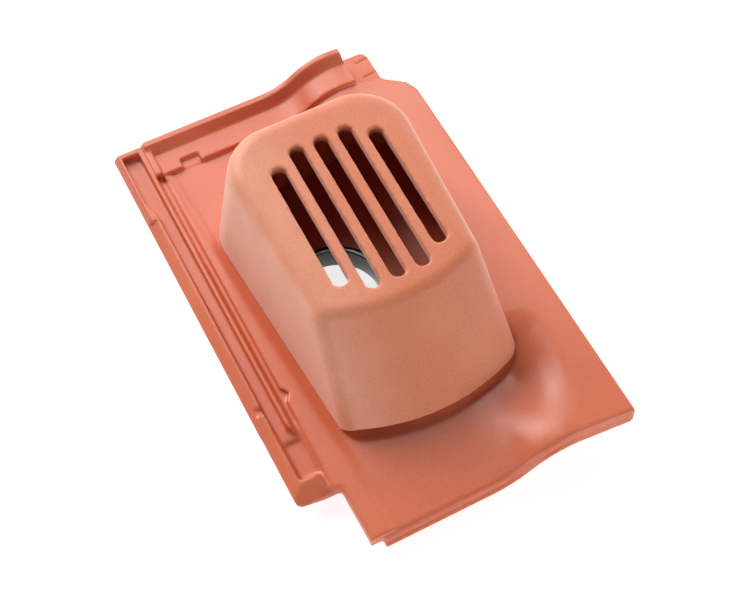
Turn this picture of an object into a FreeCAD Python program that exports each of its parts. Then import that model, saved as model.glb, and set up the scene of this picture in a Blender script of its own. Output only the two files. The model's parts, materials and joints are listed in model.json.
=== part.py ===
import FreeCAD, Part

import os

import Sketcher

V = FreeCAD.Vector

# Driving dimensions in millimetres. Heights are measured from the underside of the pan
# unless the name says otherwise, and x runs from the side lock to the cover roll.
SIZES = {
    # overall plan of the pressed tile
    "tile_width": 281,
    "tile_length": 437,
    "foot_height": 10,
    "sheet_thickness": 11,
    "nose_radius": 5,
    "lip_reach": 2.5,
    "lip_thickness": 3,
    "lip_drop": 1.5,
    # cover roll on the right side
    "roll_start": 136,
    "roll_crest": 66,
    "roll_rise": 23,
    "roll_flank_angle": 12.5,
    "cover_lip_width": 9,
    "cover_lip_draft": 1,
    "cover_lip_underside": 14.6,
    "cover_hollow": 18.3,
    "cover_hollow_reach": 42,
    # side lock on the left side
    "lock_width": 26,
    "lock_crest": 17.5,
    "lock_flank": 2.5,
    "rim_underside": 8,
    "rim_top": 12,
    "rim_slope": 4.5,
    "rim_long_slope": 9,
    "gutter_floor": 10.5,
    "gutter_left_head": 6.4,
    "gutter_left": 11.5,
    "gutter_right": 22.5,
    "gutter_head_margin": 6,
    "gutter_bend_start": 54,
    "gutter_bend_end": 80,
    "pocket_right": 31,
    "pocket_foot": 76,
    "pocket_head": 114,
    "pocket_bend": 9,
    "pocket_margin": 1.5,
    "pocket_depth": 2,
    "drain_foot": 142,
    "drain_width": 8,
    "drain_floor": 14.5,
    "end_slope_run": 14,
    "end_slope_foot": 9,
    # flat land beside the side lock
    "land_left": 33,
    "land_top": 14,
    "land_front": 57,
    "land_back": 35,
    "land_slope": 7,
    "land_front_margin": 6,
    "land_notch_depth": 5,
    "land_notch_foot": 145,
    "land_notch_head": 159,
    # corner cuts
    "notch_width": 38.5,
    "notch_length": 57.5,
    "notch_step": 11,
    "head_cut_width": 26,
    "head_cut_length": 39,
    "head_cut_corner": 7,
    "head_cut_drop": 10,
    "head_cut_lean": 12,
    "foot_corner_radius": 8,
    "lock_corner_radius": 5,
    "ledge_corner_radius": 7,
    # head lock
    "tray_left": 29,
    "tray_lift": 4,
    "tray_length": 37,
    "wall_lift": 11,
    "wall_crest": 6.2,
    "wall_slope": 8.8,
    "tray_rib_left": 27.5,
    "tray_rib_right": 33,
    "tray_rib_rise": 8,
    "ledge_height": 24,
    "ledge_length": 38,
    "tray_drain_left": 53,
    "tray_drain_width": 18,
    "tray_drain_depth": 9,
    # foot rib and hanging lugs on the underside
    "foot_rib_left": 55,
    "foot_rib_right": 81,
    "foot_rib_setback": 18,
    "foot_rib_width": 12,
    "lug_width": 30,
    "lug_length": 14,
    "lug_setback": 26,
    "lug_left": 50,
    "lug_right": 106,
    # pipe hole with its flat seat, and the pipe sleeve in it
    "hole_x": 118,
    "hole_y": 221,
    "sleeve_bore": 39,
    "sleeve_wall": 2,
    "sleeve_clearance": 1,
    "sleeve_flange": 45,
    "sleeve_flange_thickness": 2.5,
    "sleeve_foot_gap": 0.6,
    # dish pressed into the roll so that the hood's front can stand level
    "dish_left": 130,
    "dish_right": 222,
    "dish_front": 49,
    "dish_back": 92,
    "dish_corner": 26,
    "dish_slope": 52,
    "dish_shoulder": 26,
    # vent hood, measured from its own middle, with its plan given at the level of the pan's underside
    "hood_x": 143.8,
    "hood_y": 237,
    "hood_half_width": 93,
    "hood_side_taper": 0.0615,
    "hood_side_lean": 0.145,
    "hood_front": 177,
    "hood_front_lean": 0.817,
    "hood_front_bow": 232,
    "hood_back": 112.5,
    "hood_back_lean": 0.06,
    "hood_roof_height": 108,
    "hood_roof_pitch": 2.8,
    "hood_wall": 9,
    "hood_back_rounding": 46,
    "hood_front_rounding": 20,
    "hood_roof_rounding": 16,
    "hood_joint": 0.3,
    "hood_gap_top": 20,
    "hood_gap_front": 92,
    "hood_gap_back": 104,
    "hood_gap_right": 103,
    "hood_scribe_front": 121,
    # air slots in the hood's roof
    "slot_count": 5,
    "slot_width": 13.1,
    "slot_pitch": 22.4,
    "slot_middle_x": 2.4,
    "slot_middle_y": -2.5,
    "slot_reach": 75.2,
    "outer_slot_reach": 62.5,
    "slot_end_radius": 6.8,
    # lengths that only help the building: cuts that pass right through, their overrun, and sunk joins
    "through_cut": 600,
    "overrun": 20,
    "sunk": 0.5,
}

doc = FreeCAD.newDocument("roof_tile_vent")
sheet = doc.addObject("Spreadsheet::Sheet", "sizes")
for row, (name, value) in enumerate(SIZES.items(), start=1):
    sheet.set("A%d" % row, name)
    sheet.set("B%d" % row, str(value))
    sheet.setAlias("B%d" % row, name)
doc.recompute()


def number(expression):
    """The value of an expression on the sheet, in millimetres."""
    value = sheet.evalExpression(expression)
    return float(getattr(value, "Value", value))


# How near an edge must lie to the place it is looked for, in millimetres
CLOSE = 0.05

# Places that several pieces share, as expressions on the sheet
LEFT = "(-sizes.tile_width / 2)"
RIGHT = "(sizes.tile_width / 2)"
FRONT = "(-sizes.tile_length / 2)"
HEAD = "(sizes.tile_length / 2)"
UNDER = "sizes.foot_height"
PAN = "(sizes.foot_height + sizes.sheet_thickness)"
MARGIN = "sizes.overrun"


def from_left(expression):
    return "(%s + %s)" % (LEFT, expression)


def from_right(expression):
    return "(%s - %s)" % (RIGHT, expression)


def from_front(expression):
    return "(%s + %s)" % (FRONT, expression)


def from_head(expression):
    return "(%s - %s)" % (HEAD, expression)


def above_under(expression):
    return "(%s + %s)" % (UNDER, expression)


def new_sketch(body, name, role, offset=None):
    """An empty sketch on one of the body's own origin planes, moved along its normal."""
    support = [plane for plane in body.Origin.OriginFeatures if plane.Role == role][0]
    sketch = body.newObject("Sketcher::SketchObject", name)
    sketch.AttachmentSupport = [(support, "")]
    sketch.MapMode = "FlatFace"
    if offset:
        sketch.setExpression(".AttachmentOffset.Base.z", offset)
    return sketch


def pin(sketch, geometry, end, x, y):
    """Fix one end of a line or arc at a place given by two expressions."""
    for kind, expression in (("DistanceX", x), ("DistanceY", y)):
        index = sketch.addConstraint(Sketcher.Constraint(kind, -1, 1, geometry, end, number(expression)))
        sketch.setExpression("Constraints[%d]" % index, expression)


def draw(sketch, corners):
    """A closed outline. A corner is (x, y), or (x, y, radius, bulge) where an arc leaves it:
    the bulge is 1 where the arc bends to the left of its chord's direction, -1 to the right."""
    points = [V(number(c[0]), number(c[1]), 0) for c in corners]
    first = sketch.GeometryCount
    count = len(corners)
    for i, corner in enumerate(corners):
        start = points[i]
        end = points[(i + 1) % count]
        if len(corner) == 2:
            sketch.addGeometry(Part.LineSegment(start, end))
            continue
        chord = end - start
        radius = number(corner[2])
        side = V(-chord.y, chord.x, 0).normalize()
        sagitta = radius - (radius ** 2 - (chord.Length / 2) ** 2) ** 0.5
        middle = start + chord * 0.5 + side * (corner[3] * sagitta)
        sketch.addGeometry(Part.Arc(start, middle, end))
    for i, corner in enumerate(corners):
        geometry = first + i
        leaves, arrives = ends(corner)
        next_leaves = ends(corners[(i + 1) % count])[0]
        following = first + (i + 1) % count
        sketch.addConstraint(Sketcher.Constraint("Coincident", geometry, arrives, following, next_leaves))
        pin(sketch, geometry, leaves, corner[0], corner[1])
        if len(corner) > 2:
            index = sketch.addConstraint(Sketcher.Constraint("Radius", geometry, number(corner[2])))
            sketch.setExpression("Constraints[%d]" % index, corner[2])


def ends(corner):
    """Which end of a stretch leaves its corner: an arc always runs anticlockwise."""
    if len(corner) > 2 and corner[3] > 0:
        return 2, 1
    return 1, 2


def circle(sketch, x, y, radius):
    centre = V(number(x), number(y), 0)
    index = sketch.addGeometry(Part.Circle(centre, V(0, 0, 1), number(radius)))
    pin(sketch, index, 3, x, y)
    bound = sketch.addConstraint(Sketcher.Constraint("Radius", index, number(radius)))
    sketch.setExpression("Constraints[%d]" % bound, radius)


def pad(body, sketch, length, reverse=False, both=False):
    feature = body.newObject("PartDesign::Pad", sketch.Name + "_pad")
    feature.Profile = sketch
    feature.setExpression("Length", length)
    feature.Reversed = reverse
    if both:
        feature.SideType = "Symmetric"
    doc.recompute()


def pocket(body, sketch, length, reverse=False, both=False, slope=None, may_miss=False):
    """A cut that must take something away unless it may miss, with sides that slope outwards if asked."""
    before = body.Shape.Volume
    feature = body.newObject("PartDesign::Pocket", sketch.Name + "_cut")
    feature.Profile = sketch
    feature.setExpression("Length", length)
    feature.Reversed = reverse
    if slope:
        feature.setExpression("TaperAngle", slope)
    if both:
        feature.SideType = "Symmetric"
    doc.recompute()
    if body.Shape.Volume >= before and not may_miss:
        raise RuntimeError("%s cuts nothing" % sketch.Name)


def dress(body, kind, name, size, value, chosen):
    """A fillet or chamfer on the body's edges that the function chosen picks."""
    base = body.Tip
    names = ["Edge%d" % (i + 1) for i, edge in enumerate(base.Shape.Edges) if chosen(edge)]
    if not names:
        raise RuntimeError("%s finds no edge" % name)
    feature = body.newObject(kind, name)
    feature.Base = (base, names)
    feature.setExpression(size, value)
    doc.recompute()


def loft(body, kind, name, first, last):
    feature = body.newObject(kind, name)
    feature.Profile = first
    feature.Sections = [last]
    feature.Ruled = True
    doc.recompute()


# The cover roll is an S of two equal arcs, then a straight flank down to the right edge
ROLL_RUN = "(sizes.roll_start - sizes.roll_crest)"
ROLL_RADIUS = "(%s / 2 / sin(2 * atan(sizes.roll_rise / %s)))" % (ROLL_RUN, ROLL_RUN)
FLANK_X = "(sizes.roll_crest - %s * sin(sizes.roll_flank_angle))" % ROLL_RADIUS
FLANK_DROP = "(%s * (1 - cos(sizes.roll_flank_angle)))" % ROLL_RADIUS


def flank(distance, lift):
    """Height of the roll's flank at a distance from the right edge."""
    fall = "(%s - %s) * tan(sizes.roll_flank_angle)" % (FLANK_X, distance)
    return "(%s + sizes.roll_rise - %s - %s)" % (lift, FLANK_DROP, fall)


def roll_corners(lift):
    """Corners of the S from the pan to the start of the straight flank, from left to right."""
    middle = from_right("(sizes.roll_start + sizes.roll_crest) / 2")
    return [
        (from_right("sizes.roll_start"), lift, ROLL_RADIUS, -1),
        (middle, "(%s + sizes.roll_rise / 2)" % lift, ROLL_RADIUS, 1),
        (from_right(FLANK_X), "(%s + sizes.roll_rise - %s)" % (lift, FLANK_DROP)),
    ]


def backwards(corners):
    """The same corners drawn from right to left."""
    turned = []
    for i in range(len(corners) - 1, -1, -1):
        x, y = corners[i][:2]
        before = corners[i - 1] if i else ()
        turned.append((x, y) + ((before[2], -before[3]) if len(before) > 2 else ()))
    return turned


def tile_section(body):
    """Cross-section of the pressed sheet, from the lock rim to the cover edge."""
    sketch = new_sketch(body, "section", "XZ_Plane", "-" + from_front("sizes.lip_reach"))
    cover = "sizes.cover_lip_width"
    hollow = above_under("sizes.cover_hollow")
    lip = above_under("sizes.cover_lip_underside")
    draw(sketch, [
        (LEFT, above_under("sizes.rim_underside")),
        (LEFT, above_under("sizes.rim_top")),
        (from_left("sizes.rim_slope"), above_under("sizes.lock_crest")),
        (from_left("sizes.lock_width"), above_under("sizes.lock_crest")),
        (from_left("(sizes.lock_width + sizes.lock_flank)"), PAN),
        *roll_corners(PAN),
        (RIGHT, flank("0", PAN)),
        (RIGHT, lip),
        (from_right(cover), lip),
        (from_right("(%s + sizes.cover_lip_draft)" % cover), hollow),
        (from_right("sizes.cover_hollow_reach"), hollow),
        *backwards(roll_corners(UNDER)),
        (from_left("sizes.lock_width"), UNDER),
    ])
    pad(body, sketch, "(sizes.tile_length - sizes.lip_reach)", True)


def front_lip(body):
    """Thin drip lip along the bottom of the front edge, which hangs a little below the sheet."""
    sketch = new_sketch(body, "front_lip", "XZ_Plane", "-" + FRONT)
    foot = "(%s - sizes.lip_drop)" % UNDER
    top = "(%s + sizes.lip_thickness)" % UNDER
    start = from_left("(sizes.notch_width + sizes.notch_step)")
    draw(sketch, [
        (start, top),
        *roll_corners(top),
        (RIGHT, flank("0", top)),
        (RIGHT, flank("0", foot)),
        *backwards(roll_corners(foot)),
        (start, foot),
    ])
    pad(body, sketch, "2 * sizes.lip_reach", True)


LAND_ENDS = (
    ("land_front", "sizes.land_front_margin", "sizes.land_front"),
    ("land_back", "(sizes.tile_length - sizes.tray_length)", "sizes.land_back"),
)


def land_corners(edge, low, lift):
    """Section of the flat strip beside the side lock, which slopes into the pan."""
    top = above_under("(sizes.land_top + %s)" % lift)
    foot = from_left("(%s + sizes.land_slope)" % edge)
    left = from_left("sizes.land_left")
    return [(left, low), (left, top), (from_left(edge), top), (foot, "(%s + %s)" % (PAN, lift)), (foot, low)]


def land(body):
    """Flat strip beside the side lock, which narrows towards the head and has one small notch."""
    sections = []
    for name, y, edge in LAND_ENDS:
        sketch = new_sketch(body, name, "XZ_Plane", "-" + from_front(y))
        draw(sketch, land_corners(edge, above_under("sizes.sheet_thickness / 2"), "0"))
        sections.append(sketch)
    loft(body, "PartDesign::AdditiveLoft", "land", *sections)
    notch = new_sketch(body, "land_notch", "XY_Plane", PAN)
    middle = from_front("(sizes.land_notch_foot + sizes.land_notch_head) / 2")
    draw(notch, [
        (from_left("sizes.land_left"), from_front("sizes.land_notch_foot")),
        (from_left("(sizes.land_left + sizes.land_notch_depth)"), middle),
        (from_left("sizes.land_left"), from_front("sizes.land_notch_head")),
    ])
    pocket(body, notch, "sizes.sheet_thickness", True)


def head_section(body, name, length, lift):
    """Section across the head that follows the pan and the roll at a given lift."""
    sketch = new_sketch(body, name, "XZ_Plane", "-" + from_head(length))
    middle = above_under("sizes.sheet_thickness / 2")
    top = "(%s + %s)" % (PAN, lift)
    left = from_left("sizes.tray_left")
    draw(sketch, [(left, top), *roll_corners(top), *backwards(roll_corners(middle)), (left, middle)])
    return sketch


def head_lock(body):
    """Raised tray with its end wall and side rib at the head, a drain, and a lowered ledge on the roll."""
    tray = head_section(body, "tray", "sizes.tray_length", "sizes.tray_lift")
    pad(body, tray, "sizes.tray_length", True)
    wall_start = "(sizes.wall_crest + sizes.wall_slope)"
    wall_foot = head_section(body, "wall_foot", wall_start, "(sizes.tray_lift - sizes.sunk)")
    wall_top = head_section(body, "wall_top", "sizes.wall_crest", "sizes.wall_lift")
    loft(body, "PartDesign::AdditiveLoft", "wall_slope", wall_foot, wall_top)
    crest = head_section(body, "wall_crest", "sizes.wall_crest", "sizes.wall_lift")
    pad(body, crest, "sizes.wall_crest", True)
    rib = new_sketch(body, "tray_rib", "XY_Plane", above_under("sizes.sheet_thickness / 2"))
    rectangle(rib, from_left("sizes.tray_rib_left"), from_left("sizes.tray_rib_right"),
              from_head("sizes.tray_length"), HEAD)
    pad(body, rib, "(sizes.sheet_thickness / 2 + sizes.tray_rib_rise)")
    drain = new_sketch(body, "tray_drain", "XY_Plane", "(%s + sizes.sunk)" % PAN)
    rectangle(
        drain,
        from_left("sizes.tray_drain_left"),
        from_left("(sizes.tray_drain_left + sizes.tray_drain_width)"),
        from_head("(sizes.tray_length + sizes.sunk)"),
        from_head("(sizes.tray_length - sizes.tray_drain_depth)"),
    )
    pocket(body, drain, "sizes.tray_lift", True)
    ledge = new_sketch(body, "ledge", "XY_Plane", above_under("sizes.ledge_height"))
    rectangle(ledge, from_right(FLANK_X), "(%s + %s)" % (RIGHT, MARGIN), from_head("sizes.ledge_length"),
              "(%s + %s)" % (HEAD, MARGIN))
    pocket(body, ledge, "2 * sizes.wall_lift", True)


def rectangle(sketch, left, right, front, back):
    draw(sketch, [(left, front), (right, front), (right, back), (left, back)])


def side_lock(body):
    """Gutter with its S-bend and end pocket, the sloped rim, the rim's drain and the sloped end."""
    gutter = new_sketch(body, "gutter", "XY_Plane", above_under("sizes.gutter_floor"))
    right = from_left("sizes.gutter_right")
    head = from_head("sizes.gutter_head_margin")
    bend_run = "(sizes.gutter_bend_end - sizes.gutter_bend_start)"
    bend_shift = "(sizes.gutter_left - sizes.gutter_left_head)"
    bend_radius = "(%s / 2 / sin(2 * atan(%s / %s)))" % (bend_run, bend_shift, bend_run)
    middle_x = from_left("(sizes.gutter_left + sizes.gutter_left_head) / 2")
    middle_y = from_head("(sizes.gutter_bend_start + sizes.gutter_bend_end) / 2")
    draw(gutter, [
        (from_left("sizes.gutter_left_head"), head),
        (from_left("sizes.gutter_left_head"), from_head("sizes.gutter_bend_start"), bend_radius, -1),
        (middle_x, middle_y, bend_radius, 1),
        (from_left("sizes.gutter_left"), from_head("sizes.gutter_bend_end")),
        (from_left("sizes.gutter_left"), from_front("sizes.pocket_foot")),
        (from_left("sizes.pocket_right"), from_front("sizes.pocket_foot")),
        (from_left("sizes.pocket_right"), from_front("sizes.pocket_head")),
        (right, from_front("(sizes.pocket_head + sizes.pocket_bend)")),
        (right, head),
    ])
    pocket(body, gutter, "sizes.lock_crest", True)

    panel_floor = above_under("(sizes.gutter_floor - sizes.pocket_depth)")
    panel = new_sketch(body, "end_pocket", "XY_Plane", panel_floor)
    rectangle(
        panel,
        from_left("(sizes.gutter_left + sizes.pocket_margin)"),
        from_left("(sizes.pocket_right - sizes.pocket_margin)"),
        from_front("(sizes.pocket_foot + sizes.pocket_margin)"),
        from_front("(sizes.pocket_head - sizes.pocket_margin)"),
    )
    pocket(body, panel, "sizes.lock_crest", True)

    crest = above_under("sizes.lock_crest")
    over = "(%s + %s)" % (crest, MARGIN)
    outside = "(%s - %s)" % (LEFT, MARGIN)
    rim = new_sketch(body, "rim_slope", "XZ_Plane", "-" + from_front("-" + MARGIN))
    draw(rim, [
        (outside, above_under("sizes.rim_top")),
        (LEFT, above_under("sizes.rim_top")),
        (from_left("sizes.rim_long_slope"), crest),
        (from_left("sizes.rim_long_slope"), over),
        (outside, over),
    ])
    pocket(body, rim, "(sizes.tile_length - sizes.gutter_bend_end + %s)" % MARGIN)

    drain = new_sketch(body, "rim_drain", "XY_Plane", above_under("sizes.drain_floor"))
    rectangle(drain, outside, from_left("(sizes.gutter_left + sizes.sunk)"), from_front("sizes.drain_foot"),
              from_front("(sizes.drain_foot + sizes.drain_width)"))
    pocket(body, drain, "sizes.lock_crest", True)

    end = new_sketch(body, "end_slope", "YZ_Plane", "(%s - sizes.sunk)" % LEFT)
    start = from_front("sizes.notch_length")
    outer = "(%s - %s)" % (start, MARGIN)
    top = from_front("(sizes.notch_length + sizes.end_slope_run)")
    draw(end, [
        (outer, above_under("sizes.end_slope_foot")),
        (start, above_under("sizes.end_slope_foot")),
        (top, crest),
        (top, over),
        (outer, over),
    ])
    pocket(body, end, "(sizes.land_left + sizes.sunk)", True)


def corner_cuts(body):
    """The two diagonal corners of the tile that its neighbours leave free."""
    notch = new_sketch(body, "foot_notch", "XY_Plane")
    outside_x = "(%s - %s)" % (LEFT, MARGIN)
    outside_y = "(%s - %s)" % (FRONT, MARGIN)
    step = from_left("(sizes.notch_width + sizes.notch_step)")
    draw(notch, [
        (outside_x, outside_y),
        (step, outside_y),
        (step, from_front("sizes.land_front_margin")),
        (from_left("sizes.notch_width"), from_front("sizes.land_front_margin")),
        (from_left("sizes.notch_width"), from_front("sizes.notch_length")),
        (outside_x, from_front("sizes.notch_length")),
    ])
    pocket(body, notch, "sizes.through_cut", both=True)

    cut = new_sketch(body, "head_cut", "XY_Plane")
    beyond_x = "(%s + %s)" % (RIGHT, MARGIN)
    beyond_y = "(%s + %s)" % (HEAD, MARGIN)
    shoulder = "(sizes.head_cut_length + sizes.head_cut_drop)"
    draw(cut, [
        (from_right("sizes.head_cut_width"), beyond_y),
        (from_right("sizes.head_cut_width"), from_head("sizes.head_cut_length")),
        (from_right("sizes.head_cut_corner"), from_head(shoulder)),
        (RIGHT, from_head("(%s + sizes.head_cut_lean)" % shoulder)),
        (beyond_x, from_head("(%s + sizes.head_cut_lean)" % shoulder)),
        (beyond_x, beyond_y),
    ])
    pocket(body, cut, "sizes.through_cut", both=True)


def rounded_corner(sketch, x, y, side, end, radius):
    """What a rounded corner loses: side and end are 1 where the tile lies beyond x and y, or else -1."""
    inner_x = "(%s + %d * %s)" % (x, side, radius)
    inner_y = "(%s + %d * %s)" % (y, end, radius)
    outer_x = "(%s - %d * %s)" % (x, side, MARGIN)
    outer_y = "(%s - %d * %s)" % (y, end, MARGIN)
    draw(sketch, [
        (inner_x, outer_y),
        (inner_x, y, radius, side * end),
        (x, inner_y),
        (outer_x, inner_y),
        (outer_x, outer_y),
    ])


def rounded_corners(body):
    """Rounded corners of the cover edge's foot, the side lock's foot and the head's ledge."""
    sketch = new_sketch(body, "corners", "XY_Plane")
    rounded_corner(sketch, RIGHT, FRONT, -1, 1, "sizes.foot_corner_radius")
    rounded_corner(sketch, LEFT, from_front("sizes.notch_length"), 1, 1, "sizes.lock_corner_radius")
    rounded_corner(sketch, from_right("sizes.head_cut_width"), HEAD, -1, -1, "sizes.ledge_corner_radius")
    pocket(body, sketch, "sizes.through_cut", both=True)


def underside(body):
    """Foot rib under the front edge and two hanging lugs under the head, all down to the base plane."""
    roll_middle = from_right("(sizes.roll_start + sizes.roll_crest) / 2")
    half_sheet = "sizes.sheet_thickness / 2"
    low = above_under(half_sheet)
    half_way = above_under("(sizes.roll_rise / 2 + %s)" % half_sheet)
    rib = new_sketch(body, "foot_rib", "XZ_Plane", "-" + from_front("sizes.foot_rib_setback"))
    rib_right = from_right("sizes.foot_rib_right")
    draw(rib, [
        (from_left("sizes.foot_rib_left"), "0"),
        (rib_right, "0"),
        (rib_right, above_under("sizes.roll_rise")),
        (roll_middle, half_way),
        (from_right("sizes.roll_start"), low),
        (from_left("sizes.foot_rib_left"), low),
    ])
    pad(body, rib, "sizes.foot_rib_width", True)

    lugs = new_sketch(body, "lugs", "XZ_Plane", "-" + from_head("(sizes.lug_setback + sizes.lug_length)"))
    left = from_left("sizes.lug_left")
    left_end = from_left("(sizes.lug_left + sizes.lug_width)")
    draw(lugs, [(left, "0"), (left_end, "0"), (left_end, low), (left, low)])
    right = from_right("sizes.lug_right")
    right_end = from_right("(sizes.lug_right - sizes.lug_width)")
    draw(lugs, [
        (right, "0"),
        (right_end, "0"),
        (right_end, above_under("(sizes.roll_rise + %s)" % half_sheet)),
        (roll_middle, half_way),
        (right, half_way),
    ])
    pad(body, lugs, "sizes.lug_length", True)


def dish(body):
    """Level dish in the roll under the hood's front, with its own floor and sloping sides."""
    fill_front = from_front("(sizes.dish_front - sizes.dish_shoulder)")
    fill = new_sketch(body, "dish_fill", "XZ_Plane", "-" + fill_front)
    middle = above_under("sizes.sheet_thickness / 2")
    right = from_right("sizes.cover_hollow_reach")
    start = from_right("sizes.roll_start")
    draw(fill, [(start, UNDER), (right, UNDER), (right, flank("sizes.cover_hollow_reach", middle)),
                *backwards(roll_corners(middle))])
    pad(body, fill, "(sizes.dish_back - sizes.dish_front + 2 * sizes.dish_shoulder)", True)
    floor = new_sketch(body, "dish_floor", "XY_Plane", PAN)
    left = from_left("sizes.dish_left")
    right = from_left("sizes.dish_right")
    inner = from_left("(sizes.dish_right - sizes.dish_corner)")
    front = from_front("sizes.dish_front")
    back = from_front("sizes.dish_back")
    draw(floor, [
        (left, front),
        (inner, front, "sizes.dish_corner", -1),
        (right, from_front("(sizes.dish_front + sizes.dish_corner)")),
        (right, back),
        (left, back),
    ])
    pocket(body, floor, "sizes.roll_rise + sizes.sheet_thickness", True, slope="sizes.dish_slope * 1 deg")


def pipe_hole(body):
    """Hole through the pan, with a flat seat for the sleeve's flange, cut free of the roll's foot."""
    x = from_left("sizes.hole_x")
    y = from_front("sizes.hole_y")
    seat = new_sketch(body, "flange_seat", "XY_Plane", PAN)
    circle(seat, x, y, "(sizes.sleeve_flange + sizes.sleeve_clearance)")
    pocket(body, seat, "sizes.roll_rise", True, may_miss=True)
    hole = new_sketch(body, "hole", "XY_Plane")
    circle(hole, x, y, "(sizes.sleeve_bore + sizes.sleeve_wall + sizes.sleeve_clearance)")
    pocket(body, hole, "sizes.through_cut", both=True)


def rounded_edges(body):
    """Rounded nose along the front and the softer top of the cover edge."""
    face_y = number(from_front("sizes.lip_reach"))
    lock_x = number(from_left("(sizes.lock_width + sizes.lock_flank)"))
    right_x = number(RIGHT)
    sheet_shape = body.Shape

    def tops_clay(edge, inwards):
        middle = edge.valueAt((edge.FirstParameter + edge.LastParameter) / 2)
        return sheet_shape.isInside(middle + inwards, CLOSE, True)

    def nose(edge):
        box = edge.BoundBox
        across = box.YLength < CLOSE and abs(box.YMin - face_y) < CLOSE < box.XLength
        return across and tops_clay(edge, V(0, 1, -1)) and box.XMin > lock_x - CLOSE

    def cover_edge(edge):
        box = edge.BoundBox
        along = box.XLength < CLOSE and abs(box.XMin - right_x) < CLOSE < box.YLength
        return along and tops_clay(edge, V(-1, 0, -1))

    def rounded(edge):
        return nose(edge) or cover_edge(edge)

    dress(body, "PartDesign::Fillet", "nose", "Radius", "sizes.nose_radius", rounded)


def base_tile():
    body = doc.addObject("PartDesign::Body", "base_tile")
    tile_section(body)
    rounded_edges(body)
    land(body)
    head_lock(body)
    side_lock(body)
    corner_cuts(body)
    front_lip(body)
    rounded_corners(body)
    underside(body)
    dish(body)
    pipe_hole(body)
    return body


def pipe_sleeve():
    """Turned pipe connector that hangs in the hole by its flange."""
    body = doc.addObject("PartDesign::Body", "pipe_sleeve")
    sketch = new_sketch(body, "sleeve_section", "XZ_Plane", "-" + from_front("sizes.hole_y"))
    axis_x = from_left("sizes.hole_x")
    bore = "(%s + sizes.sleeve_bore)" % axis_x
    outer = "(%s + sizes.sleeve_bore + sizes.sleeve_wall)" % axis_x
    flange = "(%s + sizes.sleeve_flange)" % axis_x
    top = "(%s + sizes.sleeve_flange_thickness)" % PAN
    draw(sketch, [
        (bore, "sizes.sleeve_foot_gap"),
        (outer, "sizes.sleeve_foot_gap"),
        (outer, PAN),
        (flange, PAN),
        (flange, top),
        (bore, top),
    ])
    foot = V(number(axis_x), 0, 0)
    head = V(number(axis_x), number(top), 0)
    axis = sketch.addGeometry(Part.LineSegment(foot, head), True)
    pin(sketch, axis, 1, axis_x, "0")
    pin(sketch, axis, 2, axis_x, top)
    turn = body.newObject("PartDesign::Revolution", "sleeve_turn")
    turn.Profile = sketch
    turn.ReferenceAxis = (sketch, ["Axis0"])
    turn.Angle = 360
    doc.recompute()
    return body


# The hood is drawn about its own middle and then set on the tile
SIDE_ANGLE = "atan(sizes.hood_side_lean)"
FRONT_ANGLE = "atan(sizes.hood_front_lean)"


def hood_half(y):
    """Half the hood's width at the level of the pan's underside."""
    return "(sizes.hood_half_width + sizes.hood_side_taper * %s)" % y


def tilted_sketch(body, name, axis, angle):
    """A sketch at the level of the pan's underside, tilted about one of its own axes."""
    sketch = new_sketch(body, name, "XY_Plane", UNDER)
    sketch.AttachmentOffset = FreeCAD.Placement(V(), FreeCAD.Rotation(axis, 1))
    sketch.setExpression(".AttachmentOffset.Rotation.Angle", angle)
    return sketch


def from_hood(corners):
    """Corners of the tile's section, measured from the hood's middle instead of the tile's."""
    middle = from_left("sizes.hood_x")
    return [("(%s - %s)" % (corner[0], middle),) + corner[1:] for corner in corners]


def hood_block(body):
    """Solid hood: a side profile with a sloping roof, then leaning sides and a bowed front."""
    profile = new_sketch(body, "hood_profile", "YZ_Plane")
    slope = "tan(sizes.hood_roof_pitch)"
    front_level = "(sizes.hood_roof_height - %s * sizes.hood_front)" % slope
    back_level = "(sizes.hood_roof_height + %s * sizes.hood_back)" % slope
    fold = "(%s / (1 - %s * sizes.hood_front_lean))" % (front_level, slope)
    ridge = "(%s / (1 + %s * sizes.hood_back_lean))" % (back_level, slope)
    draw(profile, [
        ("-sizes.hood_front", UNDER),
        ("sizes.hood_back", UNDER),
        ("(sizes.hood_back - sizes.hood_back_lean * %s)" % ridge, above_under(ridge)),
        ("(sizes.hood_front_lean * %s - sizes.hood_front)" % fold, above_under(fold)),
    ])
    pad(body, profile, "sizes.tile_width", both=True)

    for hand, name in ((-1, "left_side"), (1, "right_side")):
        side = tilted_sketch(body, name, V(0, 1, 0), "%d * %s" % (-hand, SIDE_ANGLE))
        outside = "%d * sizes.tile_width" % hand
        wall = ["%d * %s * cos(%s)" % (hand, hood_half(y), SIDE_ANGLE) for y in (FRONT, HEAD)]
        draw(side, [(wall[0], FRONT), (wall[1], HEAD), (outside, HEAD), (outside, FRONT)])
        pocket(body, side, "sizes.through_cut", both=True)

    front = tilted_sketch(body, "front_bow", V(1, 0, 0), "-%s" % FRONT_ANGLE)
    nose = "(-sizes.hood_front * cos(%s))" % FRONT_ANGLE
    half = "(sizes.tile_width / 2)"
    bow = "sizes.hood_front_bow"
    bow_end = "(%s + %s - sqrt(%s ^ 2 - %s ^ 2))" % (nose, bow, bow, half)
    clear = "(%s - %s)" % (nose, MARGIN)
    draw(front, [("-" + half, bow_end, bow, -1), (half, bow_end), (half, clear), ("-" + half, clear)])
    pocket(body, front, "sizes.through_cut", both=True)


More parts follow.
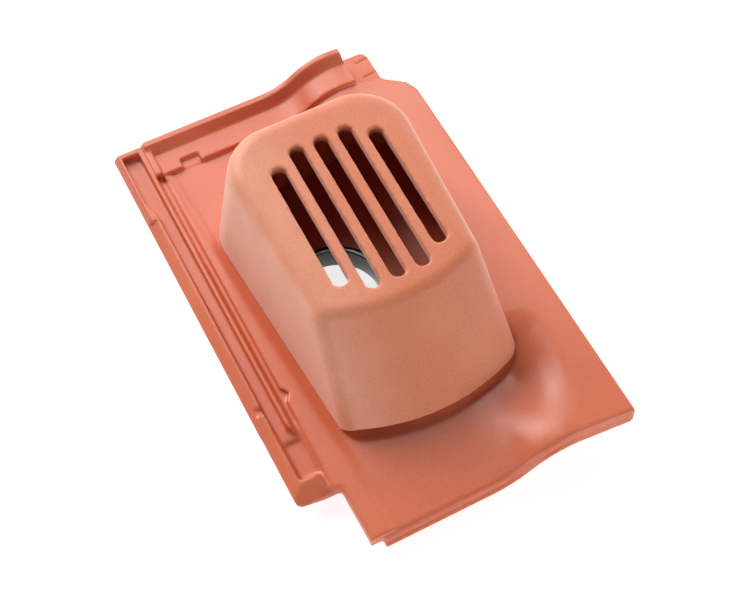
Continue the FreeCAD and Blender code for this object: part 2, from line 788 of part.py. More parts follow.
def hood_shell(body):
    """Rounded back corners, then the hollow, then the outer edges rounded over."""
    under = number(UNDER)
    half = number("sizes.hood_half_width")
    taper = number("sizes.hood_side_taper")
    lean = number("sizes.hood_side_lean")
    roof_height = number("sizes.hood_roof_height")
    pitch = number("tan(sizes.hood_roof_pitch)")

    def on_side(point):
        return abs(abs(point.x) - half - taper * point.y + lean * (point.z - under)) < CLOSE

    def on_roof(point):
        return abs(roof_height + pitch * point.y - (point.z - under)) < CLOSE

    def points(edge):
        first, last = edge.ParameterRange
        return [edge.valueAt(first + (last - first) * part) for part in (0, 0.5, 1)]

    def upright(edge):
        first = points(edge)[0]
        last = points(edge)[2]
        return on_side(first) and on_side(last) and abs(last.z - first.z) > half / 2

    def back_corner(edge):
        return upright(edge) and points(edge)[1].y > 0

    def front_corner(edge):
        return upright(edge) and points(edge)[1].y < 0

    def roof_edge(edge):
        return all(on_roof(point) for point in points(edge))

    dress(body, "PartDesign::Fillet", "back_corners", "Radius", "sizes.hood_back_rounding", back_corner)
    solid = body.Tip
    floor = [i + 1 for i, face in enumerate(solid.Shape.Faces) if face.CenterOfMass.z < under + CLOSE]
    hollow = body.newObject("PartDesign::Thickness", "hood_hollow")
    hollow.Base = (solid, ["Face%d" % i for i in floor])
    hollow.setExpression("Value", "sizes.hood_wall")
    hollow.Reversed = True
    hollow.Join = "Arc"
    doc.recompute()
    dress(body, "PartDesign::Fillet", "front_corners", "Radius", "sizes.hood_front_rounding", front_corner)
    dress(body, "PartDesign::Fillet", "roof_edges", "Radius", "sizes.hood_roof_rounding", roof_edge)


def hood_foot(body):
    """Foot scribed to the tile's surface, with a level raised edge at the front that lets air out.
    On the left the raised edge drops to the pan, on the right it climbs the dish's back slope."""
    low = "-" + MARGIN
    seat = "(%s + sizes.hood_joint)" % PAN
    start = "(sizes.hood_scribe_front - sizes.hood_y)"
    scribe = new_sketch(body, "scribe", "XZ_Plane", "-" + start)
    surface = [(RIGHT, flank("0", seat)), *backwards(roll_corners(seat)), (LEFT, seat)]
    draw(scribe, from_hood([(LEFT, low), (RIGHT, low), *surface]))
    pocket(body, scribe, "sizes.tile_length")

    rim = above_under("sizes.hood_gap_top")
    drop = [("(sizes.hood_gap_back - sizes.hood_y)", seat), ("(sizes.hood_gap_front - sizes.hood_y)", rim)]
    climb = [("(sizes.hood_gap_right - sizes.hood_y)", rim)]
    for name, level, turns, to_right in (
        ("left_gap", seat, drop, False),
        ("right_gap", "(%s + sizes.roll_rise)" % seat, climb, True),
    ):
        gap = new_sketch(body, name, "YZ_Plane", "-sizes.sunk" if to_right else None)
        draw(gap, [(FRONT, low), (start, low), (start, level), *turns, (FRONT, rim)])
        pocket(body, gap, "sizes.tile_width", to_right)


def air_slots(body):
    """Rounded slots side by side in the roof, the two outer ones shorter than the others."""
    sketch = new_sketch(body, "air_slots", "XY_Plane", above_under("sizes.hood_roof_height + %s" % MARGIN))
    count = int(number("sizes.slot_count"))
    for i in range(count):
        middle = "(sizes.slot_middle_x + (%d - (sizes.slot_count - 1) / 2) * sizes.slot_pitch)" % i
        reach = "sizes.outer_slot_reach" if i in (0, count - 1) else "sizes.slot_reach"
        straight = "(%s - sizes.slot_width / 2)" % reach
        left = "(%s - sizes.slot_width / 2)" % middle
        right = "(%s + sizes.slot_width / 2)" % middle
        foot = "(sizes.slot_middle_y - %s)" % straight
        top = "(sizes.slot_middle_y + %s)" % straight
        draw(sketch, [
            (left, foot, "sizes.slot_end_radius", -1),
            (right, foot),
            (right, top, "sizes.slot_end_radius", -1),
            (left, top),
        ])
    pocket(body, sketch, "sizes.hood_roof_height")


def vent_hood():
    body = doc.addObject("PartDesign::Body", "vent_hood")
    body.setExpression(".Placement.Base.x", from_left("sizes.hood_x"))
    body.setExpression(".Placement.Base.y", from_front("sizes.hood_y"))
    hood_block(body)
    hood_shell(body)
    hood_foot(body)
    air_slots(body)
    return body


pieces = (base_tile(), pipe_sleeve(), vent_hood())
doc.recompute()
for thing in doc.Objects:
    if "Invalid" in thing.State or "Error" in thing.State:
        raise RuntimeError("%s did not build" % thing.Name)
os.makedirs("parts", exist_ok=True)
for piece in pieces:
    shape = piece.Shape
    if shape.isNull() or not shape.isValid() or len(shape.Solids) != 1:
        raise RuntimeError("%s is not one sound solid" % piece.Label)
    print(piece.Label, shape.BoundBox, round(shape.Volume))
    shape.exportStep("parts/%s.step" % piece.Label)
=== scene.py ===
# %% [markdown]
# # A clay roof tile with a vent hood
#
# The real object is a pressed clay roof tile. A hood of sandier clay is bonded over a hole in its pan,
# and a black plastic sleeve hangs in that hole and takes the vent pipe from below.
#
# The frame brings these three pieces in as exact solids with sharp edges.
# This lesson gives them the soft edges, the skin and the light of fired clay, without moving anything.

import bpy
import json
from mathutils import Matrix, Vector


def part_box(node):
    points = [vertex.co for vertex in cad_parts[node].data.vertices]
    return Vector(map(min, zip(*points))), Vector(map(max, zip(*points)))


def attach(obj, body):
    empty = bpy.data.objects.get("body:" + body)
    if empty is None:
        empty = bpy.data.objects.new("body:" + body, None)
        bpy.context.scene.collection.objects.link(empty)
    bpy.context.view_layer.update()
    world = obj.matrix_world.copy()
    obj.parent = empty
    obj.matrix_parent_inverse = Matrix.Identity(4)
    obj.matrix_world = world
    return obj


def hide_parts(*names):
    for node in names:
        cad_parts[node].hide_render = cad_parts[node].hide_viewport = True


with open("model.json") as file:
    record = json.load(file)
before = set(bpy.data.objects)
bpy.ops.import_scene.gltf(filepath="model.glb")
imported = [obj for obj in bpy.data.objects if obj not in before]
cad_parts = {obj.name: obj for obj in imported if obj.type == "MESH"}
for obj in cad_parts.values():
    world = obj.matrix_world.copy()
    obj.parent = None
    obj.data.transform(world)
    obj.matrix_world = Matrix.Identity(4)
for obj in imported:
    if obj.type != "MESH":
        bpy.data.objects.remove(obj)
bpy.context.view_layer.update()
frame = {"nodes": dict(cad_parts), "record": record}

# %% [markdown]
# ## Tools
#
# The frame is in metres, but clay is measured in millimetres, so lengths below are numbers times MM.
# The shapes are edited as meshes. One search tree finds where a ray meets a surface,
# another finds the nearest of many places, and a noise gives the unevenness that fired clay has.

# %% Tools for the lesson
import json
import math

import bmesh
import bpy
from mathutils import Matrix, Vector, kdtree, noise
from mathutils.bvhtree import BVHTree
from mathutils.geometry import intersect_point_line

MM = 0.001
SAME_PLACE = 0.001 * MM
print("one millimetre is", MM, "metres")

# %% [markdown]
# ## From sharp solids to soft clay
#
# Clay is pressed in a mould, dried and fired, so every edge of it is a little round,
# and no two are round alike.
# A bevel on each edge is one way to get there, but the many short edges of a solid's mesh break it.
#
# Here a copy of the solid is remeshed into small even faces instead, like a skin of fine clay,
# and then the skin is smoothed. The smoothing rounds each edge by about the size of a few faces.
# The even faces can also carry chips and dents later on.

# %% A copy with an even skin


def settle(piece):
    """Makes the result of a piece's modifiers its own mesh."""
    graph = bpy.context.evaluated_depsgraph_get()
    finished = bpy.data.meshes.new_from_object(piece.evaluated_get(graph))
    finished.name = piece.name
    piece.modifiers.clear()
    piece.data = finished


def even_copy(node_name, piece_name, face_size, plug=None):
    """A copy of a solid with its loose triangles merged and then remeshed into even faces.
    A plug is the low and the high corner of a small block that is fused to it."""
    mesh = frame["nodes"][node_name].data.copy()
    shape = bmesh.new()
    shape.from_mesh(mesh)
    bmesh.ops.remove_doubles(shape, verts=shape.verts, dist=SAME_PLACE)
    if plug:
        low, high = plug
        block = Matrix.Translation((low + high) / 2) @ Matrix.Diagonal((*(high - low), 1))
        bmesh.ops.create_cube(shape, size=1, matrix=block)
    shape.to_mesh(mesh)
    shape.free()
    piece = bpy.data.objects.new(piece_name, mesh)
    bpy.context.collection.objects.link(piece)
    skin = piece.modifiers.new("even skin", "REMESH")
    skin.mode = "VOXEL"
    skin.voxel_size = face_size
    settle(piece)
    print(piece_name, "has", len(piece.data.polygons), "even faces")
    return piece


# %% [markdown]
# A smoothing moves each place of the skin towards its neighbours.
# A weight says where it works, and how strongly.
# Flat stretches need few faces, so at the end the skin is thinned, most of all where it is flat.

# %% Smoothing and thinning
SMOOTH_STEP = 0.5


def soften(piece, times, weights=None):
    """Smooths a piece, all over or where the weights say."""
    smooth = piece.modifiers.new("worn edges", "SMOOTH")
    smooth.factor = SMOOTH_STEP
    smooth.iterations = times
    if weights:
        smooth.vertex_group = weights
    settle(piece)


def weigh(piece, name, rule):
    """A vertex group with the weight that the rule gives at each place."""
    group = piece.vertex_groups.new(name=name)
    for vertex in piece.data.vertices:
        weight = rule(vertex.co)
        if weight > 0:
            group.add([vertex.index], weight, "REPLACE")
    return name


def triangle_count(mesh):
    """Number of triangles that a mesh is drawn with."""
    return sum(len(face.vertices) - 2 for face in mesh.polygons)


def lighten(piece, most_triangles):
    """Thins the even skin where it is flat, down to a number of triangles."""
    before = triangle_count(piece.data)
    thin = piece.modifiers.new("thin", "DECIMATE")
    thin.ratio = min(1.0, most_triangles / before)
    settle(piece)
    for face in piece.data.polygons:
        face.use_smooth = True
    print(piece.name, "is thinned from", before, "to", triangle_count(piece.data), "triangles")


# %% [markdown]
# ## The pressed tile
#
# The tile's pan, roll, locks and lip are all in its solid.
# What the solid lacks is the flow of pressed clay. In the solid the dish below the hood has a flat floor
# with sloping sides, and the land beside the side lock has a straight slope.
# A mould leaves soft hollows instead.
#
# The dish can be made from two heights: the roll's own height and the pan's. The roll's height is read
# off the tile further back, where nothing is cut into it. A depth that is 1 in the middle of the dish
# and fades to 0 round about then leads softly from the one to the other.

# %% Heights of the roll and the dish
FACE_SIZE = 1.1 * MM
MOST_TRIANGLES = 190000
DOWN = Vector((0, 0, -1))
ABOVE = 0.2
ROLL_PLACE = -70 * MM
PAN_PLACE = Vector((-40, -150)) * MM
DISH_LEFT = -12 * MM
DISH_CORNER = Vector((64, -132)) * MM
DISH_FADE = Vector((52, 79)) * MM
DISH_BACK = (-114 * MM, -92 * MM)


def fade(distance, start, end):
    """1 up to the start, 0 beyond the end, and a soft slope between them."""
    part = min(1.0, max(0.0, (end - distance) / (end - start)))
    return part * part * (3 - 2 * part)


def surface_below(skin, x, y):
    """Height of the topmost surface at a place, or nothing where there is none."""
    place = skin.ray_cast(Vector((x, y, ABOVE)), DOWN)[0]
    return place.z if place else None


def dish_depth(x, y):
    """How far the roll is pressed down: 1 is down to the pan, 0 is not at all."""
    right = max(0.0, (x - DISH_CORNER.x) / DISH_FADE.x)
    front = max(0.0, (DISH_CORNER.y - y) / DISH_FADE.y)
    return fade(math.hypot(right, front), 0, 1) * fade(y, *DISH_BACK)


# %% [markdown]
# Pressing the dish moves only places on the tile's top. A place belongs to the top where a ray from above
# meets it first, so the underside of the tile stays as it is.

# %% Press the dish


def press_dish(piece):
    """Moves the top of the tile around the dish to the heights that the depth gives."""
    skin = BVHTree.FromObject(piece, bpy.context.evaluated_depsgraph_get())
    pan = surface_below(skin, *PAN_PLACE)
    moved = 0
    for vertex in piece.data.vertices:
        x, y, z = vertex.co
        inside = x > DISH_LEFT and DISH_CORNER.y - DISH_FADE.y < y < DISH_BACK[1]
        if not inside or x > DISH_CORNER.x + DISH_FADE.x:
            continue
        top = surface_below(skin, x, y)
        roll = surface_below(skin, x, ROLL_PLACE)
        if top - z < FACE_SIZE / 2:
            vertex.co.z = roll + (pan - roll) * dish_depth(x, y)
            moved += 1
    print("dish moves", moved, "places of", piece.name)


# %% [markdown]
# The land beside the side lock only needs a smoothing with a weight.
# The weight is 1 along the line where the land slopes into the pan and fades to 0 on both sides of it,
# so the crisp locks are not touched. Last, a light smoothing everywhere takes off the sharp edges.
#
# At the front right corner the solid has a thin gap between the drip lip and the cover edge.
# The pressed clay has none there, so a small plug closes it.
# The ledge at the head has two short, shallow marks across it.

# %% Weights and marks of the tile
LAND_FRONT = Vector((-82, -208)) * MM
LAND_BACK = Vector((-102, 176)) * MM
LAND_REACH = 12 * MM
SCORE_DEPTH = 1 * MM
SCORE_REACH = 1.5 * MM
LEAST_RISE = 0.8
LEDGE_MARKS = (
    (Vector((101, 207.9)) * MM, Vector((113.4, 209.5)) * MM),
    (Vector((100, 189.7)) * MM, Vector((112.3, 191.3)) * MM),
)


def land_weight(place):
    """Weight along the line where the land slopes into the pan."""
    nearest, part = intersect_point_line(place.xy, LAND_FRONT, LAND_BACK)
    return fade((place.xy - nearest.xy).length, LAND_REACH / 2, LAND_REACH) if 0 < part < 1 else 0


def score(piece, marks):
    """Cuts shallow marks between pairs of places into the top of a piece."""
    tops = [vertex for vertex in piece.data.vertices if vertex.normal.z > LEAST_RISE]
    for vertex in tops:
        for start, end in marks:
            nearest, part = intersect_point_line(vertex.co.xy, start, end)
            if 0 < part < 1:
                away = (vertex.co.xy - nearest.xy).length
                vertex.co.z -= SCORE_DEPTH * fade(away, 0, SCORE_REACH)


def dish_weight(place):
    """Weight where the dish was pressed."""
    return 1 if 0 < dish_depth(*place.xy) else 0


# %% [markdown]
# Now the tile is put together. The order matters: the dish is pressed into the sharp skin,
# the hollows are smoothed, then all edges, and the marks come last, so that nothing smooths them away.

# %% The finished tile
COVER_PLUG = (Vector((114, -216, 20)) * MM, Vector((137, -213.5, 29.5)) * MM)
DISH_SMOOTHING = 20
LAND_SMOOTHING = 40
EDGE_SMOOTHING = 2

clay_tile = even_copy("base_tile", "clay_tile", FACE_SIZE, COVER_PLUG)
press_dish(clay_tile)
soften(clay_tile, DISH_SMOOTHING, weigh(clay_tile, "dish", dish_weight))
soften(clay_tile, LAND_SMOOTHING, weigh(clay_tile, "land", land_weight))
soften(clay_tile, EDGE_SMOOTHING)
score(clay_tile, LEDGE_MARKS)
lighten(clay_tile, MOST_TRIANGLES)
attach(clay_tile, "root")
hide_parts("base_tile")

# %% [markdown]
# ## The vent hood
#
# The hood is made apart from the tile, from a coarser clay, and its edges are rounder than the tile's.
# The slots were cut while the clay was wet, so their rims are rough, with small chips.
#
# The rims are found in the solid itself: they are the edges between a face that looks up
# and one that stands upright.
# Near them a noise pushes the skin in, a little nearly everywhere and more in a few places.

# %% Rims of the slots
RIM_STEP = 1 * MM
LOOKS_UP = 0.9
STANDS_UPRIGHT = 0.2


def slot_rims(node_name):
    """Places along the sharp upper edges of the slots, ready for a search of the nearest one."""
    shape = bmesh.new()
    shape.from_mesh(frame["nodes"][node_name].data)
    bmesh.ops.remove_doubles(shape, verts=shape.verts, dist=SAME_PLACE)
    places = []
    for edge in shape.edges:
        if len(edge.link_faces) != 2:
            continue
        rises = [face.normal.z for face in edge.link_faces]
        if min(abs(rise) for rise in rises) > STANDS_UPRIGHT or max(rises) < LOOKS_UP:
            continue
        start, end = (vertex.co for vertex in edge.verts)
        steps = max(1, round((end - start).length / RIM_STEP))
        places += [start.lerp(end, step / steps) for step in range(steps + 1)]
    shape.free()
    rims = kdtree.KDTree(len(places))
    for index, place in enumerate(places):
        rims.insert(place, index)
    rims.balance()
    print("slot rims have", len(places), "places")
    return rims


# %% [markdown]
# The hood's own edges are smoothed first. Then the rims are roughened, and a last light smoothing
# takes the sharpness off the chips.

# %% The finished hood
RIM_REACH = 2.6 * MM
RIM_DEPTH = 0.9 * MM
RIM_GRAIN = 4 * MM
RIM_WEAR = 0.35
HOOD_SMOOTHING = 3


def roughen(piece, rims):
    """Pushes the skin in near the rims by a noise."""
    outwards = [vertex.normal.copy() for vertex in piece.data.vertices]
    for vertex, outward in zip(piece.data.vertices, outwards):
        distance = rims.find(vertex.co)[2]
        if distance < RIM_REACH:
            rough = max(0.0, noise.noise(vertex.co / RIM_GRAIN) + RIM_WEAR)
            vertex.co -= outward * (RIM_DEPTH * rough * fade(distance, 0, RIM_REACH))


clay_hood = even_copy("vent_hood", "clay_hood", FACE_SIZE)
soften(clay_hood, HOOD_SMOOTHING)
roughen(clay_hood, slot_rims("vent_hood"))
soften(clay_hood, EDGE_SMOOTHING)
lighten(clay_hood, MOST_TRIANGLES)
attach(clay_hood, "root")
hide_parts("vent_hood")

# %% [markdown]
# ## The pipe sleeve
#
# The sleeve is moulded in glossy black plastic: a short pipe that hangs in the tile's hole by its flange.
# A turned piece is drawn as half of its section and spun once round.
# A bevel rounds the ring edges, which then catch the light as moulded plastic does.

# %% Section of the sleeve
sleeve_low, sleeve_high = (Vector(corner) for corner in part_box("pipe_sleeve"))
bore_mount = [mount for mount in frame["record"]["mounts"] if mount["name"] == "pipe_bore"][0]
sleeve_bore = bore_mount["dims"]["r_mm"] * MM
sleeve_flange = (sleeve_high.x - sleeve_low.x) / 2
sleeve_axis = (sleeve_low + sleeve_high) / 2
SLEEVE_WALL = 2 * MM
FLANGE_THICKNESS = 2.5 * MM

section = [
    (sleeve_bore, sleeve_low.z),
    (sleeve_bore + SLEEVE_WALL, sleeve_low.z),
    (sleeve_bore + SLEEVE_WALL, sleeve_high.z - FLANGE_THICKNESS),
    (sleeve_flange, sleeve_high.z - FLANGE_THICKNESS),
    (sleeve_flange, sleeve_high.z),
    (sleeve_bore, sleeve_high.z),
]
print("sleeve section has", len(section), "corners")

# %% [markdown]
# The section's corners are rounded before the spin, because that takes one bevel of six corners
# instead of one of every ring edge.

# %% Spun sleeve
SLEEVE_ROUNDING = 0.7 * MM
ROUNDING_STEPS = 3
SPIN_STEPS = 128

shape = bmesh.new()
corners = [shape.verts.new((sleeve_axis.x + radius, sleeve_axis.y, height)) for radius, height in section]
for index, corner in enumerate(corners):
    shape.edges.new((corners[index - 1], corner))
bmesh.ops.bevel(
    shape, geom=corners, offset=SLEEVE_ROUNDING, segments=ROUNDING_STEPS, profile=0.5,
    affect="VERTICES", material=-1)
bmesh.ops.spin(
    shape, geom=shape.verts[:] + shape.edges[:], cent=sleeve_axis, axis=(0, 0, 1),
    angle=math.tau, steps=SPIN_STEPS, use_merge=True)
bmesh.ops.remove_doubles(shape, verts=shape.verts, dist=SAME_PLACE)
bmesh.ops.recalc_face_normals(shape, faces=shape.faces)
mesh = bpy.data.meshes.new("black_sleeve")
shape.to_mesh(mesh)
shape.free()
for face in mesh.polygons:
    face.use_smooth = True
black_sleeve = bpy.data.objects.new("black_sleeve", mesh)
bpy.context.collection.objects.link(black_sleeve)
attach(black_sleeve, "root")
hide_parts("pipe_sleeve")
print("sleeve has", len(mesh.polygons), "faces")

# %% [markdown]
# ## Finishes
#
# Fired clay is never one colour: it drifts from place to place, and it is speckled.
# A picture of clay could be laid on the pieces, but it would stretch over the hood's curves and show seams.
# Noise patterns have no seams. They read Object coordinates, so they stay put on the clay.
#
# The helpers below each add one small step to a finish, such as a pattern, a tint or a relief.

# %% Helpers for finishes


def new_finish(name):
    """A material with its shader, and functions for a noise pattern and for a slope along an axis."""
    material = bpy.data.materials.new(name)
    material.use_nodes = True
    nodes = material.node_tree.nodes
    links = material.node_tree.links
    shader = nodes["Principled BSDF"]
    places = nodes.new("ShaderNodeTexCoord")

    def along(axis, start, end):
        """0 at the start and 1 at the end of a stretch along one axis."""
        split = nodes.new("ShaderNodeSeparateXYZ")
        links.new(places.outputs["Object"], split.inputs["Vector"])
        ramp = nodes.new("ShaderNodeMapRange")
        ramp.interpolation_type = "SMOOTHSTEP"
        ramp.inputs["From Min"].default_value = start
        ramp.inputs["From Max"].default_value = end
        links.new(split.outputs[axis], ramp.inputs["Value"])
        return ramp.outputs["Result"]

    def pattern(size, detail=3.0):
        """Noise with clouds of about a size."""
        cloud = nodes.new("ShaderNodeTexNoise")
        cloud.inputs["Scale"].default_value = 1 / size
        cloud.inputs["Detail"].default_value = detail
        links.new(places.outputs["Object"], cloud.inputs["Vector"])
        return cloud.outputs["Fac"]

    return material, nodes, links, shader, pattern, along


# %% [markdown]
# A tint turns a pattern into colours. A second pattern can darken it, and a painted pale sheen can lie over
# it.

# %% Helpers for colours


def tint(nodes, links, factor, tones):
    """Colours from a pattern: each tone is a place on the ramp and a colour."""
    ramp = nodes.new("ShaderNodeValToRGB")
    while len(ramp.color_ramp.elements) < len(tones):
        ramp.color_ramp.elements.new(0.5)
    for element, (place, colour) in zip(ramp.color_ramp.elements, tones):
        element.position = place
        element.color = (*colour, 1)
    links.new(factor, ramp.inputs["Fac"])
    return ramp.outputs["Color"]


def multiply(nodes, links, colour, shade, amount):
    """A colour darkened or lightened by a second pattern."""
    mix = nodes.new("ShaderNodeMix")
    mix.data_type = "RGBA"
    mix.blend_type = "MULTIPLY"
    mix.inputs["Factor"].default_value = amount
    links.new(colour, mix.inputs["A"])
    links.new(shade, mix.inputs["B"])
    return mix.outputs["Result"]


def painted_sheen(nodes, links, colour, pale, amount):
    """A colour with painted sheen: it turns paler by an amount that changes over the surface."""
    mix = nodes.new("ShaderNodeMix")
    mix.data_type = "RGBA"
    mix.inputs["B"].default_value = (*pale, 1)
    links.new(amount, mix.inputs["Factor"])
    links.new(colour, mix.inputs["A"])
    return mix.outputs["Result"]


# %% [markdown]
# Numbers, such as a roughness, also come from patterns. A relief bends the light as small bumps do,
# without adding faces. Grains of sand are too small and too many to be modelled.

# %% Helpers for numbers and relief


def product(nodes, links, first, second):
    """One amount times another."""
    times = nodes.new("ShaderNodeMath")
    times.operation = "MULTIPLY"
    links.new(first, times.inputs[0])
    links.new(second, times.inputs[1])
    return times.outputs["Value"]


def between(nodes, links, factor, low, high):
    """A number that a pattern moves between two values."""
    scale = nodes.new("ShaderNodeMapRange")
    scale.inputs["To Min"].default_value = low
    scale.inputs["To Max"].default_value = high
    links.new(factor, scale.inputs["Value"])
    return scale.outputs["Result"]


def relief(nodes, links, shader, heights):
    """Bumps of several sizes on top of each other: each is a pattern and its height."""
    normal = None
    for factor, height in heights:
        bump = nodes.new("ShaderNodeBump")
        bump.inputs["Distance"].default_value = height
        links.new(factor, bump.inputs["Height"])
        if normal:
            links.new(normal, bump.inputs["Normal"])
        normal = bump.outputs["Normal"]
    links.new(normal, shader.inputs["Normal"])


# %% [markdown]
# Such tiles get a thin coat of fine clay before they are fired. It gives them a satin skin
# with a slow drift of colour, faint speckles and hardly any grain. The roughness changes a little
# over the surface, so that the sheen on the pan and the roll is soft and uneven.

# %% Satin tile clay
tile_finish, nodes, links, shader, pattern, along = new_finish("satin tile clay")
drift = tint(nodes, links, pattern(90 * MM), (
    (0.30, (0.59, 0.130, 0.057)),
    (0.55, (0.62, 0.145, 0.065)),
    (0.75, (0.65, 0.162, 0.075)),
))
speckle = tint(nodes, links, pattern(2.2 * MM, 5), (
    (0.30, (0.80, 0.76, 0.74)),
    (0.50, (1.0, 1.0, 1.0)),
))
links.new(multiply(nodes, links, drift, speckle, 0.35), shader.inputs["Base Color"])
links.new(between(nodes, links, pattern(14 * MM, 4), 0.30, 0.42), shader.inputs["Roughness"])
shader.inputs["Specular IOR Level"].default_value = 0.44
relief(nodes, links, shader, (
    (pattern(9 * MM, 2), 0.10 * MM),
    (pattern(0.9 * MM, 3), 0.05 * MM),
))
clay_tile.data.materials.clear()
clay_tile.data.materials.append(tile_finish)
print(tile_finish.name, "has", len(nodes), "nodes")

# %% [markdown]
# The hood is bare, sandy clay: lighter and duller than the tile, with a grain that can be felt.
# Its left side is painted paler in clouds, as a painted sheen where the light falls on it,
# so a slope along X is multiplied with a noise. A little sheen stands for the dust of its sand.

# %% Sandy hood clay
hood_finish, nodes, links, shader, pattern, along = new_finish("sandy hood clay")
drift = tint(nodes, links, pattern(60 * MM), (
    (0.30, (0.64, 0.180, 0.083)),
    (0.55, (0.67, 0.198, 0.093)),
    (0.75, (0.70, 0.218, 0.107)),
))
speckle = tint(nodes, links, pattern(1.6 * MM, 6), (
    (0.28, (0.66, 0.60, 0.56)),
    (0.46, (1.0, 1.0, 1.0)),
))
# Painted sheen: the hood's left side is painted paler, in clouds, where the light falls on it.
left_side = along("X", 10 * MM, -80 * MM)
sheen_clouds = between(nodes, links, pattern(25 * MM), 0.2, 0.6)
painted_sheen_amount = product(nodes, links, left_side, sheen_clouds)
drift = painted_sheen(nodes, links, drift, (0.84, 0.42, 0.28), painted_sheen_amount)
links.new(multiply(nodes, links, drift, speckle, 0.5), shader.inputs["Base Color"])
links.new(between(nodes, links, pattern(6 * MM, 4), 0.38, 0.52), shader.inputs["Roughness"])
shader.inputs["Specular IOR Level"].default_value = 0.32
shader.inputs["Sheen Weight"].default_value = 0.3
shader.inputs["Sheen Roughness"].default_value = 0.5
relief(nodes, links, shader, (
    (pattern(7 * MM, 3), 0.15 * MM),
    (pattern(0.8 * MM, 4), 0.14 * MM),
))
clay_hood.data.materials.clear()
clay_hood.data.materials.append(hood_finish)
print(hood_finish.name, "has", len(nodes), "nodes")

# %% [markdown]
# The sleeve is moulded plastic, straight from a polished mould: nearly black and glossy.
# Plain black would look like a hole, so its colour and its gloss still change a little from place to place.

# %% Glossy black sleeve
sleeve_finish, nodes, links, shader, pattern, along = new_finish("glossy black plastic")
links.new(tint(nodes, links, pattern(20 * MM), (
    (0.30, (0.010, 0.010, 0.011)),
    (0.70, (0.022, 0.022, 0.024)),
)), shader.inputs["Base Color"])
links.new(between(nodes, links, pattern(8 * MM, 4), 0.10, 0.24), shader.inputs["Roughness"])
relief(nodes, links, shader, ((pattern(1.5 * MM, 2), 0.01 * MM),))
black_sleeve.data.materials.append(sleeve_finish)
print(sleeve_finish.name, "has", len(nodes), "nodes")

# %% [markdown]
# ## Floor, light and camera
#
# The tile lies on white paper. More lamps would whiten the paper, but they would bleach the clay as well.
# Instead the paper glows, but only for rays that come straight from the camera or off a glossy surface.
# So only the gloss of the clay shows the glow, its own colour takes no light from it,
# and the paper keeps the tile's shadow.

# %% Paper floor
FLOOR_REACH = 6.0
shape = bmesh.new()
bmesh.ops.create_grid(shape, x_segments=1, y_segments=1, size=FLOOR_REACH)
mesh = bpy.data.meshes.new("white_floor")
shape.to_mesh(mesh)
shape.free()
floor = bpy.data.objects.new("white_floor", mesh)
bpy.context.collection.objects.link(floor)


def seen_directly(nodes, links):
    """1 where the camera looks straight at the surface, or through a gloss or a glass."""
    path = nodes.new("ShaderNodeLightPath")
    first = nodes.new("ShaderNodeMath")
    first.operation = "MAXIMUM"
    links.new(path.outputs["Is Camera Ray"], first.inputs[0])
    links.new(path.outputs["Is Glossy Ray"], first.inputs[1])
    second = nodes.new("ShaderNodeMath")
    second.operation = "MAXIMUM"
    links.new(first.outputs["Value"], second.inputs[0])
    links.new(path.outputs["Is Transmission Ray"], second.inputs[1])
    return second.outputs["Value"]


PAPER_GLOW = 0.8
paper = bpy.data.materials.new("white paper")
paper.use_nodes = True
nodes = paper.node_tree.nodes
links = paper.node_tree.links
shader = nodes["Principled BSDF"]
shader.inputs["Base Color"].default_value = (0.86, 0.86, 0.86, 1)
shader.inputs["Roughness"].default_value = 0.9
glow = nodes.new("ShaderNodeMath")
glow.operation = "MULTIPLY"
glow.inputs[1].default_value = PAPER_GLOW
links.new(seen_directly(nodes, links), glow.inputs[0])
shader.inputs["Emission Color"].default_value = (1, 1, 1, 1)
links.new(glow.outputs["Value"], shader.inputs["Emission Strength"])
floor.data.materials.append(paper)
print("floor reaches", FLOOR_REACH, "metres to each side")

# %% [markdown]
# The room around the paper works in the same way: white to the eye and in a gloss,
# but nearly dark as a lamp.

# %% Pale room
WORLD_FILL = 0.02
world = bpy.data.worlds.new("pale room")
bpy.context.scene.world = world
world.use_nodes = True
nodes = world.node_tree.nodes
links = world.node_tree.links
background = nodes["Background"]
background.inputs["Color"].default_value = (1, 1, 1, 1)
links.new(between(nodes, links, seen_directly(nodes, links), WORLD_FILL, 1.0), background.inputs["Strength"])
print("room lights the clay with", WORLD_FILL, "of its white")

# %% [markdown]
# Broad windows behind the tile give it its soft sheen, and leave the hood's front and the dish in shade.
# One lamp from the front could lift the hood's front, but it would also fill the shadow below the rim.
# Low white boards light the hood's front and only graze the pan, so some of that shadow stays.

# %% Lamps
LAMP_AIM = Vector((0, 0, 50 * MM))


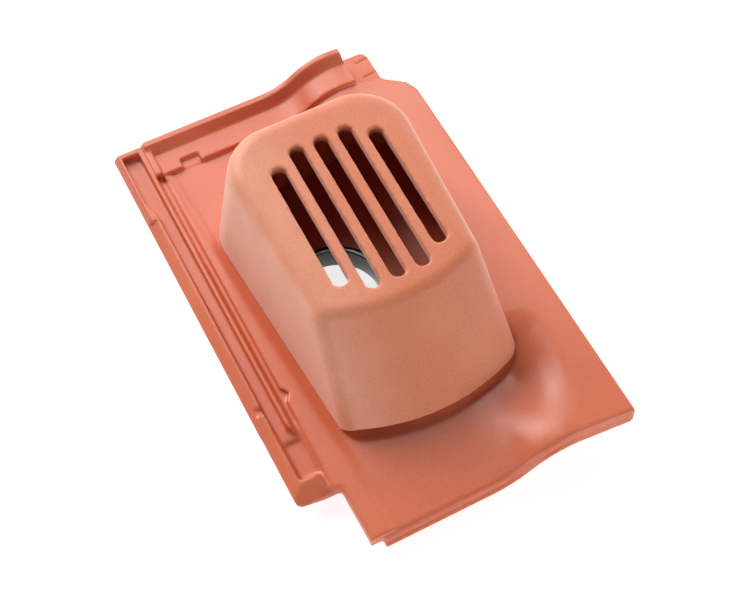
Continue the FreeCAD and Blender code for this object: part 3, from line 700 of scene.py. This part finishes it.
def soft_lamp(name, turn, rise, distance, width, height, power):
    """A flat lamp that faces the tile.
    It stands a turn round from the tile's head, clockwise from above, and a rise over the floor."""
    lamp = bpy.data.lights.new(name, "AREA")
    lamp.shape = "RECTANGLE"
    lamp.size = width
    lamp.size_y = height
    lamp.energy = power
    holder = bpy.data.objects.new(name, lamp)
    turn = math.radians(turn)
    rise = math.radians(rise)
    away = Vector((math.sin(turn) * math.cos(rise), math.cos(turn) * math.cos(rise), math.sin(rise)))
    holder.location = LAMP_AIM + away * distance
    holder.rotation_euler = away.to_track_quat("Z", "Y").to_euler()
    bpy.context.collection.objects.link(holder)
    print(name, "has", power, "watts")


soft_lamp("window behind", -15, 34, 8.0, 4.4, 4.4, 760)
soft_lamp("high box behind", 17, 57, 2.0, 0.5, 0.5, 7)
soft_lamp("window behind right", 30, 35, 4.0, 2.4, 2.4, 18)
soft_lamp("low box behind right", 50, 30, 2.0, 0.8, 0.8, 9)
soft_lamp("white board on the right", 110, 8, 2.0, 1.2, 0.5, 9)
soft_lamp("white board at the front right", 150, 8, 2.0, 1.2, 0.5, 10)
soft_lamp("white board at the front left", 210, 8, 2.0, 1.2, 0.5, 15)

# %% [markdown]
# The camera looks down on the tile from its front left, with a long lens, as a catalogue picture is taken.
# A long lens from further away keeps the tile's long edges nearly parallel.

# %% Camera at the photograph's angle
CAMERA_AZIMUTH = math.radians(27.61)
CAMERA_ELEVATION = math.radians(59.68)
CAMERA_DISTANCE = 1.2648
CAMERA_TARGET = Vector((6.55, -15.01, 10.0)) * MM
LENS = 69.82
SENSOR_WIDTH = 36

camera = bpy.data.cameras.new("camera")
camera.lens = LENS
camera.sensor_fit = "HORIZONTAL"
camera.sensor_width = SENSOR_WIDTH
towards_camera = Vector((
    -math.sin(CAMERA_AZIMUTH) * math.cos(CAMERA_ELEVATION),
    -math.cos(CAMERA_AZIMUTH) * math.cos(CAMERA_ELEVATION),
    math.sin(CAMERA_ELEVATION),
))
viewer = bpy.data.objects.new("camera", camera)
viewer.location = CAMERA_TARGET + towards_camera * CAMERA_DISTANCE
viewer.rotation_euler = towards_camera.to_track_quat("Z", "Y").to_euler()
bpy.context.collection.objects.link(viewer)
bpy.context.scene.camera = viewer
bpy.context.scene.view_settings.view_transform = "Standard"
print("camera stands", CAMERA_DISTANCE, "metres away")
